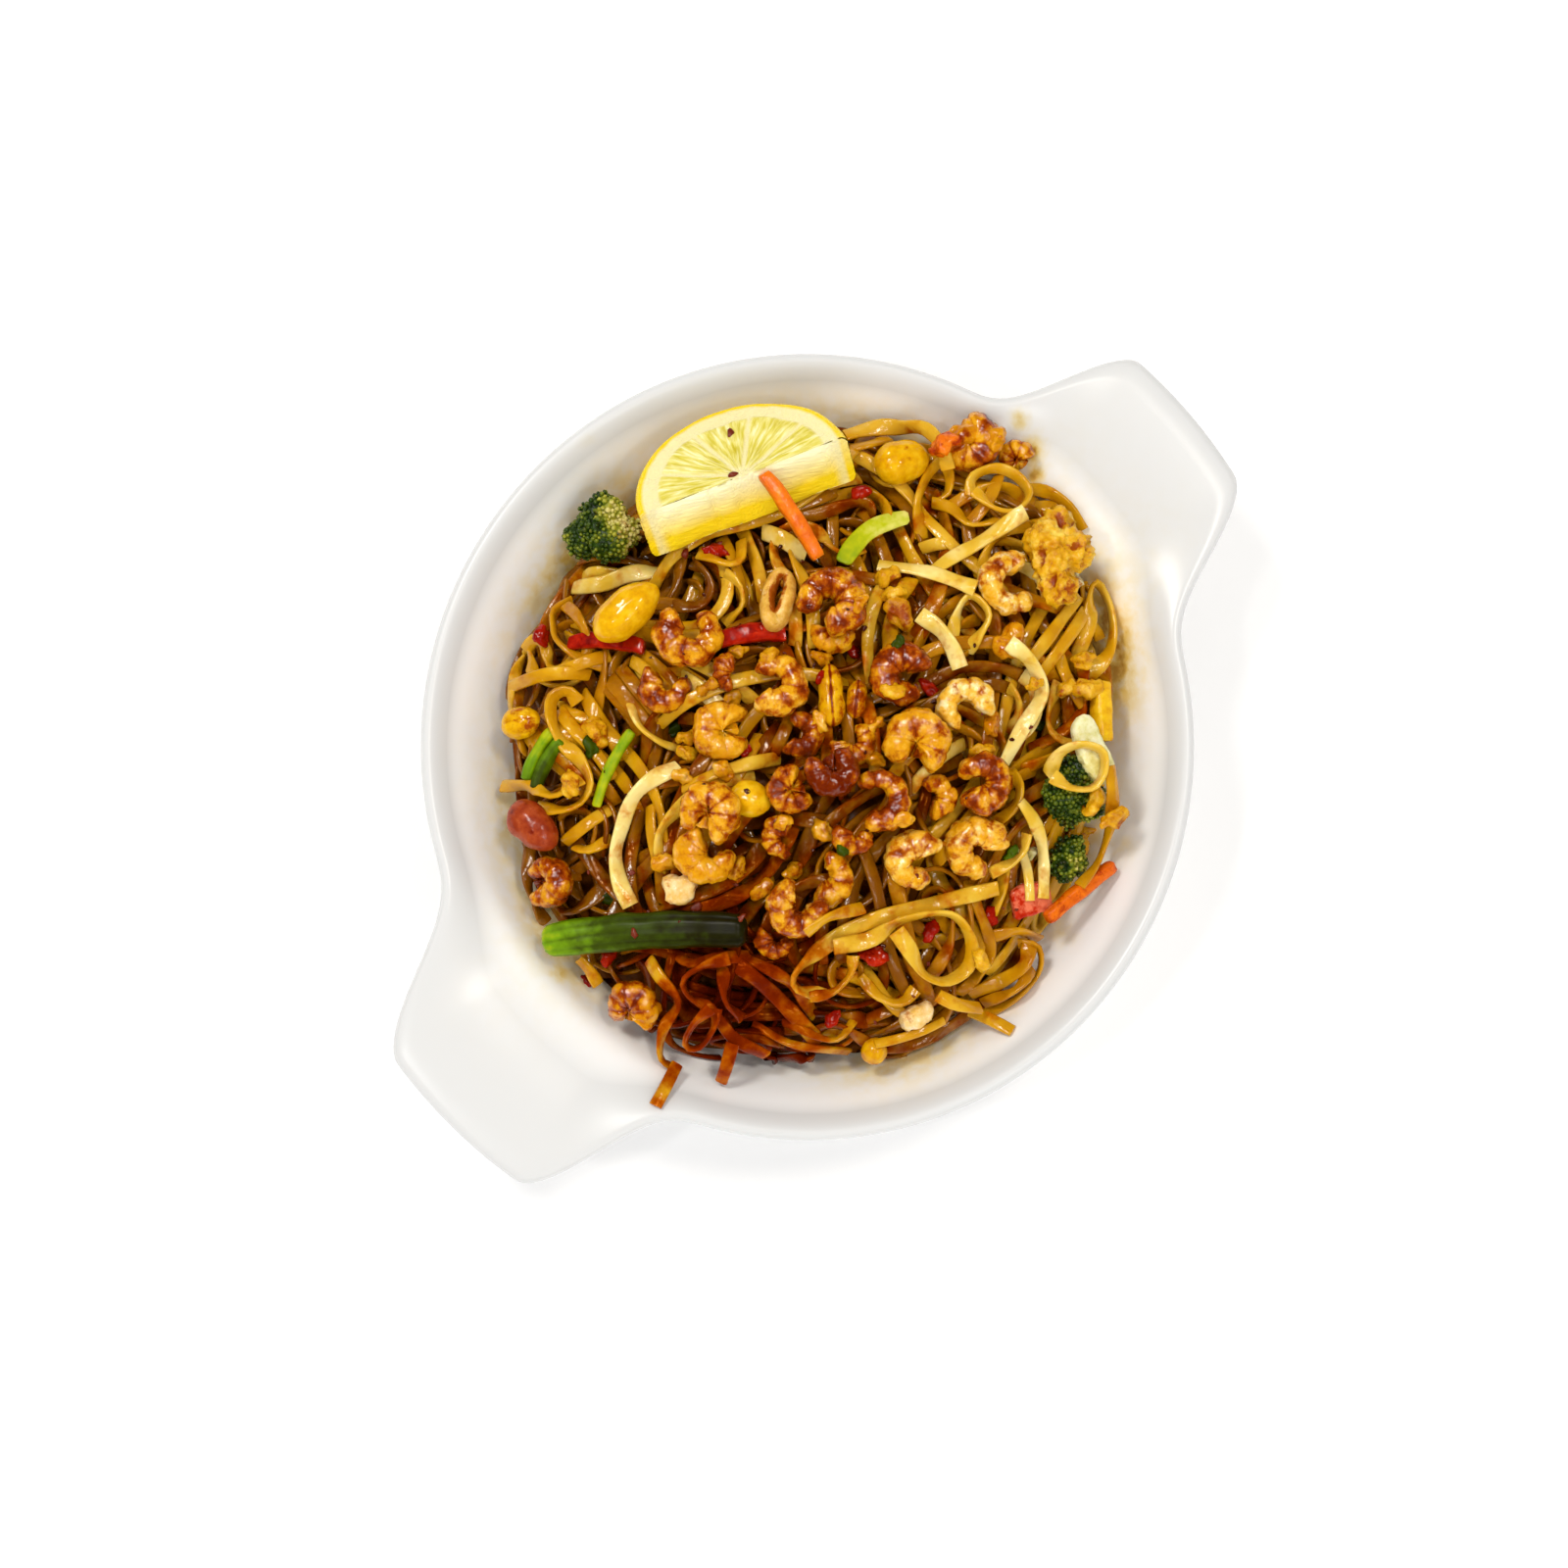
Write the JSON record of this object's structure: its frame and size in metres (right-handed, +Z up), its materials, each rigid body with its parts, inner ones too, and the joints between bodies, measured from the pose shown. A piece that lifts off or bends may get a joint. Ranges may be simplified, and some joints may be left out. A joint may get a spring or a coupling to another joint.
{
  "type": "pad thai in a dish",
  "caption": "Round white porcelain dish with two broad ears, heaped with sauced flat noodles, small curled shrimps, peanuts, vegetables and a thick lemon slice.",
  "frame": {"origin": "bottom centre of the dish's foot ring, on the surface it stands on", "axes": "+Z up, +X along the ears towards the first ear"},
  "size_m": [0.2642, 0.2014, 0.0702],
  "materials": {
    "porcelain": "white gloss glaze",
    "noodles": "cooked rice noodles, glossy with sauce",
    "shrimp": "fried shrimp, glossy with sauce",
    "peanut": "smooth boiled peanut",
    "red_skin": "peanut in its red skin",
    "lemon": "wet cut flesh and waxy peel",
    "broccoli": "fine rough buds",
    "egg": "crumpled cooked egg",
    "pale_food": "moist pale food",
    "red_pepper": "glossy cooked pepper",
    "carrot": "moist cut carrot",
    "yellow_veg": "moist yellow vegetable",
    "cabbage": "pale cabbage stem",
    "scallion": "glossy spring onion",
    "olive_veg": "cooked green stalk"
  },
  "bodies": {
    "root": {"broccoli_left": "broccoli", "broccoli_low": "broccoli", "broccoli_right": "broccoli", "cabbage_piece": "cabbage", "carrot_on_lemon": "carrot", "carrot_right": "carrot", "dish": "porcelain", "egg_cluster": "egg", "green_pod": "scallion", "lemon_slice": "lemon", "noodle_heap": "noodles", "olive_stalk": "olive_veg", "pale_chunk": "pale_food", "peanut_bright": "peanut", "peanut_far": "peanut", "peanut_half_long": "peanut", "peanut_half_small": "peanut", "peanut_large": "peanut", "peanut_left": "peanut", "peanut_low": "peanut", "peanut_red_skin": "red_skin", "pepper_middle": "red_pepper", "pepper_right": "red_pepper", "pepper_under_peanut": "red_pepper", "pink_chunk": "pale_food", "sauced_chunk": "shrimp", "scallion_leaf": "scallion", "shrimp_01": "shrimp", "shrimp_02": "shrimp", "shrimp_03": "shrimp", "shrimp_04": "shrimp", "shrimp_05": "shrimp", "shrimp_06": "shrimp", "shrimp_07": "shrimp", "shrimp_08": "shrimp", "shrimp_09": "shrimp", "shrimp_10": "shrimp", "shrimp_11": "shrimp", "shrimp_12": "shrimp", "shrimp_13": "shrimp", "shrimp_14": "shrimp", "shrimp_15": "shrimp", "shrimp_16": "shrimp", "shrimp_17": "shrimp", "shrimp_18": "shrimp", "shrimp_19": "shrimp", "shrimp_20": "shrimp", "shrimp_21": "shrimp", "shrimp_22": "shrimp", "shrimp_23": "shrimp", "shrimp_24": "shrimp", "shrimp_25": "shrimp", "shrimp_26": "shrimp", "shrimp_27": "shrimp", "shrimp_28": "shrimp", "shrimp_29": "shrimp", "shrimp_30": "shrimp", "spring_onion": "scallion", "squid_ring": "pale_food", "yellow_stick": "yellow_veg"}
  },
  "joints": []
}
